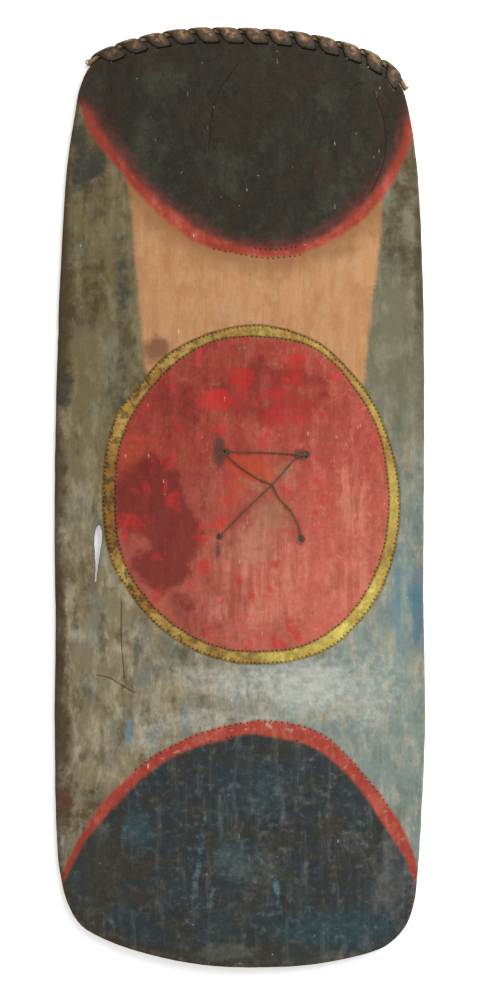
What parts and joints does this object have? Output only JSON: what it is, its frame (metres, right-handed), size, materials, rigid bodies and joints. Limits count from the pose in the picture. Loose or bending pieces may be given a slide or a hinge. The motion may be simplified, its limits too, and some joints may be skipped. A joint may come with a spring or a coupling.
{
  "type": "wooden war shield",
  "caption": "Tall body shield of one cambered wooden board, cane-whipped along its top edge, with a laced carrying cord and a painted face.",
  "frame": {"origin": "under the middle of the whole shield, in the plane that its back's two bearing strips lie on", "axes": "+X across the board to the viewer's right of the painted face, +Y to the whipped top edge, +Z out of the painted face"},
  "size_m": [0.6138, 1.55, 0.0358],
  "materials": {
    "painted_wood": "adzed wood with worn earth paints",
    "cane_core": "bare split cane",
    "cane_strip": "hand-polished brown cane skin",
    "bark_cord": "twisted bark fibre"
  },
  "bodies": {
    "root": {"board": "painted_wood", "rim_bundle": "cane_core", "rim_strip": "cane_strip", "carrying_cord": "bark_cord"}
  },
  "joints": []
}
